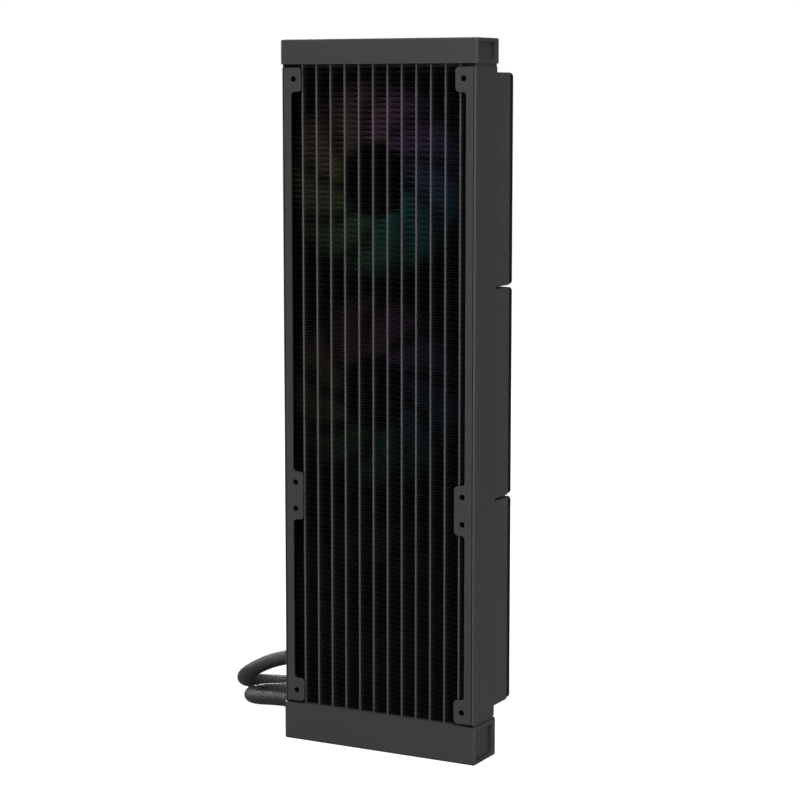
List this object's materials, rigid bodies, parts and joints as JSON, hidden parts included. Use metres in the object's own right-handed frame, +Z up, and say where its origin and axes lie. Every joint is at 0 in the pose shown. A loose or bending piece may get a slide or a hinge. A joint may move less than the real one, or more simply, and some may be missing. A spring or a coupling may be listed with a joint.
{
  "type": "liquid cooling radiator",
  "caption": "Upright slim radiator with side plates, finned core and end tanks, backed by square fans, with braided hoses running to a pump block.",
  "frame": {"origin": "centre of the lower end tank's underside, on the surface the radiator stands on", "axes": "+Z up along the radiator's length, +X across its width to the right seen from the bare outer face, +Y from the bare outer face towards the fans"},
  "size_m": [0.2126, 0.2149, 0.3955],
  "materials": {
    "radiator_paint": "dark grey powder coat, satin, fine texture",
    "core_paint": "thin matt black paint",
    "black_steel": "black oxide",
    "seal_rubber": "matt",
    "fan_plastic": "moulded dark grey plastic, fine grain",
    "trim_plastic": "moulded black plastic, satin",
    "blade_plastic": "frosted clear plastic, lit from the hub",
    "magnet": "ferrite, matt",
    "steel": "ground",
    "bearing_brass": "sintered",
    "winding": "enamelled copper wire on iron",
    "board": "circuit board",
    "fitting_paint": "black anodised, satin",
    "hose_sleeve": "rubber tube in a braided sleeve",
    "copper": "machined copper",
    "pump_plastic": "satin black moulding",
    "rotor_plastic": "natural"
  },
  "bodies": {
    "radiator": {"cold_plate": "copper", "cold_plate_screws": "black_steel", "fan_1_bearing": "bearing_brass", "fan_1_frame": "fan_plastic", "fan_1_light_board": "board", "fan_1_stator": "winding", "fan_1_trim": "trim_plastic", "fan_2_bearing": "bearing_brass", "fan_2_frame": "fan_plastic", "fan_2_light_board": "board", "fan_2_stator": "winding", "fan_2_trim": "trim_plastic", "fan_3_bearing": "bearing_brass", "fan_3_frame": "fan_plastic", "fan_3_light_board": "board", "fan_3_stator": "winding", "fan_3_trim": "trim_plastic", "fan_screws": "black_steel", "fill_plug": "black_steel", "fill_plug_seal": "seal_rubber", "fin_strips": "core_paint", "flat_tubes": "core_paint", "flow_divider": "core_paint", "hose_collars": "fitting_paint", "inlet_elbow": "fitting_paint", "lower_cap_left": "radiator_paint", "lower_cap_right": "radiator_paint", "lower_header_plate": "core_paint", "lower_hose": "hose_sleeve", "lower_tank": "radiator_paint", "outlet_elbow": "fitting_paint", "pump_board": "board", "pump_cap": "pump_plastic", "pump_fittings": "fitting_paint", "pump_gasket": "seal_rubber", "pump_housing": "pump_plastic", "pump_shaft": "steel", "pump_stator": "winding", "side_plate_left": "radiator_paint", "side_plate_right": "radiator_paint", "upper_cap_left": "radiator_paint", "upper_cap_right": "radiator_paint", "upper_header_plate": "core_paint", "upper_hose": "hose_sleeve", "upper_tank": "radiator_paint"},
    "fan_1_rotor": {"fan_1_impeller": "blade_plastic", "fan_1_magnet_ring": "magnet", "fan_1_shaft": "steel"},
    "fan_2_rotor": {"fan_2_impeller": "blade_plastic", "fan_2_magnet_ring": "magnet", "fan_2_shaft": "steel"},
    "fan_3_rotor": {"fan_3_impeller": "blade_plastic", "fan_3_magnet_ring": "magnet", "fan_3_shaft": "steel"},
    "pump_rotor": {"pump_impeller": "rotor_plastic", "pump_magnet": "magnet"}
  },
  "joints": [
    {"name": "fan_1_spin", "type": "hinge", "parent": "radiator", "child": "fan_1_rotor", "pos_m": [0, 0.02515, 0.3194], "axis": [0, 1, 0], "continuous": true},
    {"name": "fan_2_spin", "type": "hinge", "parent": "radiator", "child": "fan_2_rotor", "pos_m": [0, 0.02515, 0.2021], "axis": [0, 1, 0], "continuous": true},
    {"name": "fan_3_spin", "type": "hinge", "parent": "radiator", "child": "fan_3_rotor", "pos_m": [0, 0.02515, 0.0848], "axis": [0, 1, 0], "continuous": true},
    {"name": "pump_spin", "type": "hinge", "parent": "radiator", "child": "pump_rotor", "pos_m": [-0.122, 0.17175, 0.017], "axis": [0, 0, 1], "continuous": true}
  ]
}
